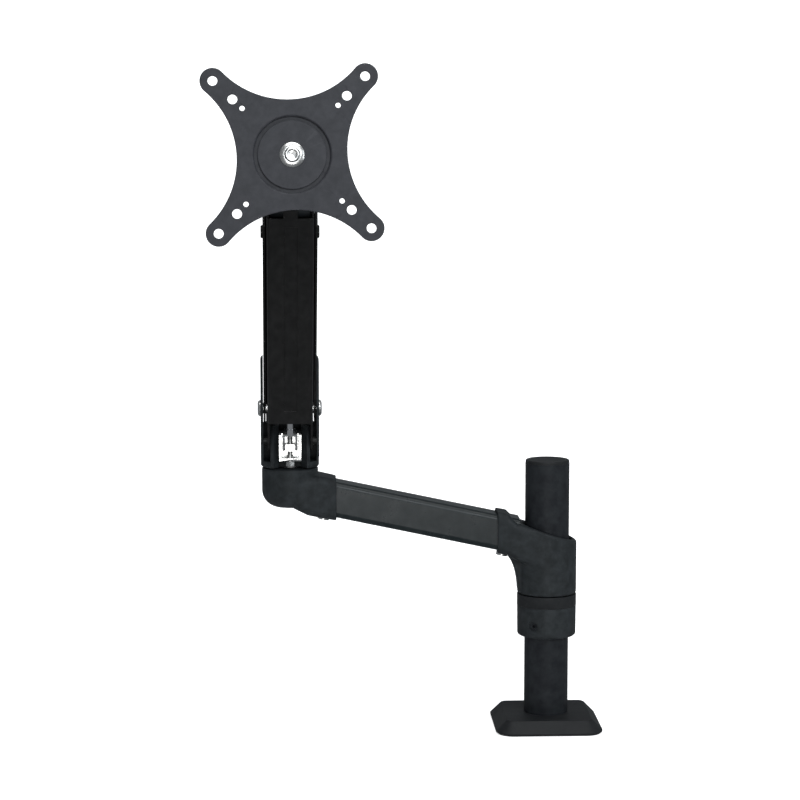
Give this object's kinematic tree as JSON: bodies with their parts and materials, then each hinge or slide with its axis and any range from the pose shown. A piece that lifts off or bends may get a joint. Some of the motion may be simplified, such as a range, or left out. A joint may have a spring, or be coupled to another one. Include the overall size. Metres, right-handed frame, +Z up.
{
  "type": "monitor arm",
  "caption": "Desk monitor arm: bolt-down post, swivelling lower arm, gas-spring parallelogram upper arm and a tilting, turning screen plate.",
  "frame": {"origin": "centre of the underside of the base, on the post axis and the desk bolt's axis", "axes": "+Z up along the post; -Y towards the user; +X to the user's right"},
  "size_m": [0.2792, 0.218, 0.4829],
  "materials": {
    "black_plastic": "fine matte moulded texture",
    "rubber_pad": "matte",
    "zinc": "bright zinc plate",
    "post_black": "satin black powder coat",
    "casting_black": "matte black powder coat over die casting",
    "tube_black": "semi-gloss black paint",
    "channel_black": "satin black powder coat over folded steel",
    "plate_black": "satin black powder coat over pressed steel",
    "acetal": "smooth black acetal",
    "chrome_rod": "polished",
    "cylinder_black": "gloss black lacquer"
  },
  "bodies": {
    "base": {"base_pad": "rubber_pad", "base_plate": "zinc", "base_cover": "black_plastic", "post_tube": "post_black", "post_anchor": "zinc", "post_cap": "black_plastic"},
    "collar": {"collar": "casting_black", "collar_set_screw": "post_black", "bearing_ring": "black_plastic"},
    "lower_arm": {"hub_casting": "casting_black", "hub_bush_lower": "acetal", "hub_bush_upper": "acetal", "lower_tube": "tube_black", "tube_screw_hub": "zinc", "tube_screw_elbow": "zinc", "elbow_casting": "casting_black", "elbow_bush": "acetal"},
    "yoke": {"yoke": "casting_black", "yoke_shaft": "zinc", "pivot_bolt_left": "zinc", "pivot_bolt_right": "zinc", "lower_pin_left": "channel_black", "lower_pin_right": "channel_black", "spring_bracket": "zinc"},
    "adjuster": {"adjust_screw": "zinc"},
    "trunnion": {"trunnion_nut": "zinc"},
    "rod": {"spring_clevis": "zinc", "spring_rod": "chrome_rod"},
    "cylinder": {"spring_cylinder": "cylinder_black", "spring_pin": "zinc"},
    "lower_link": {"lower_channel": "channel_black"},
    "upper_link": {"upper_channel": "channel_black", "spring_stud_left": "channel_black", "spring_stud_right": "channel_black"},
    "head": {"head_bracket": "casting_black", "head_bolt_left": "zinc", "head_bolt_right": "zinc", "head_pin": "zinc"},
    "pan": {"pan_block": "casting_black", "pan_pin": "casting_black"},
    "tilt": {"tilt_block": "casting_black", "tilt_bolt": "zinc", "tilt_nut": "zinc", "plate_bolt": "zinc"},
    "plate": {"vesa_plate": "plate_black", "plate_disc": "plate_black"}
  },
  "joints": [
    {"name": "height_slide", "type": "slide", "parent": "base", "child": "collar", "axis": [0, 0, 1], "range_m": [-0.05, 0.03]},
    {"name": "lower_arm_swivel", "type": "hinge", "parent": "collar", "child": "lower_arm", "pos_m": [0, 0, 0.11], "axis": [0, 0, 1], "range_deg": [-180, 180]},
    {"name": "elbow_swivel", "type": "hinge", "parent": "lower_arm", "child": "yoke", "pos_m": [-0.18837, -0.00921, 0.1945], "axis": [0, 0, 1], "range_deg": [-165, 20]},
    {"name": "tension_screw", "type": "hinge", "parent": "yoke", "child": "adjuster", "pos_m": [-0.18766, -0.02119, 0.1995], "axis": [0, 0, 1], "range_deg": [0, 2400]},
    {"name": "trunnion_travel", "type": "slide", "parent": "yoke", "child": "trunnion", "axis": [0, 0, 1], "range_m": [0, 0.0046]},
    {"name": "rod_pivot", "type": "hinge", "parent": "trunnion", "child": "rod", "pos_m": [-0.18766, -0.02119, 0.21], "axis": [-0.9982, -0.0593, 0], "range_deg": [-90, 8]},
    {"name": "spring_stroke", "type": "slide", "parent": "rod", "child": "cylinder", "axis": [0.0209, -0.3524, 0.9356], "range_m": [-0.0425, 0.0025]},
    {"name": "arm_lift", "type": "hinge", "parent": "yoke", "child": "lower_link", "pos_m": [-0.18778, -0.0192, 0.2145], "axis": [-0.9982, -0.0593, 0], "range_deg": [-89, 4]},
    {"name": "upper_link_pivot", "type": "hinge", "parent": "yoke", "child": "upper_link", "pos_m": [-0.18837, -0.00921, 0.2372], "axis": [-0.9982, -0.0593, 0], "range_deg": [-90, 5]},
    {"name": "head_level", "type": "hinge", "parent": "lower_link", "child": "head", "pos_m": [-0.18284, -0.10234, 0.38527], "axis": [-0.9982, -0.0593, 0], "range_deg": [-5, 90]},
    {"name": "head_pan", "type": "hinge", "parent": "head", "child": "pan", "pos_m": [-0.18173, -0.12101, 0.42097], "axis": [0, 0, 1], "range_deg": [-60, 60]},
    {"name": "head_tilt", "type": "hinge", "parent": "pan", "child": "tilt", "pos_m": [-0.17972, -0.14773, 0.42087], "axis": [-0.9972, -0.075, 0], "range_deg": [-20, 35]},
    {"name": "plate_turn", "type": "hinge", "parent": "tilt", "child": "plate", "pos_m": [-0.17837, -0.1657, 0.4234], "axis": [0.0742, -0.9875, 0.1392], "range_deg": [-90, 90]}
  ],
  "couplings": [
    {"joint": "tension_screw", "follows": "trunnion_travel", "rad_per_m": 8976},
    {"joint": "upper_link_pivot", "follows": "arm_lift", "ratio": 1},
    {"joint": "head_level", "follows": "arm_lift", "ratio": -1},
    {"joint": "rod_pivot", "follows": "arm_lift", "ratio": 0.975},
    {"joint": "spring_stroke", "follows": "arm_lift", "m_per_rad": 0.0269}
  ]
}
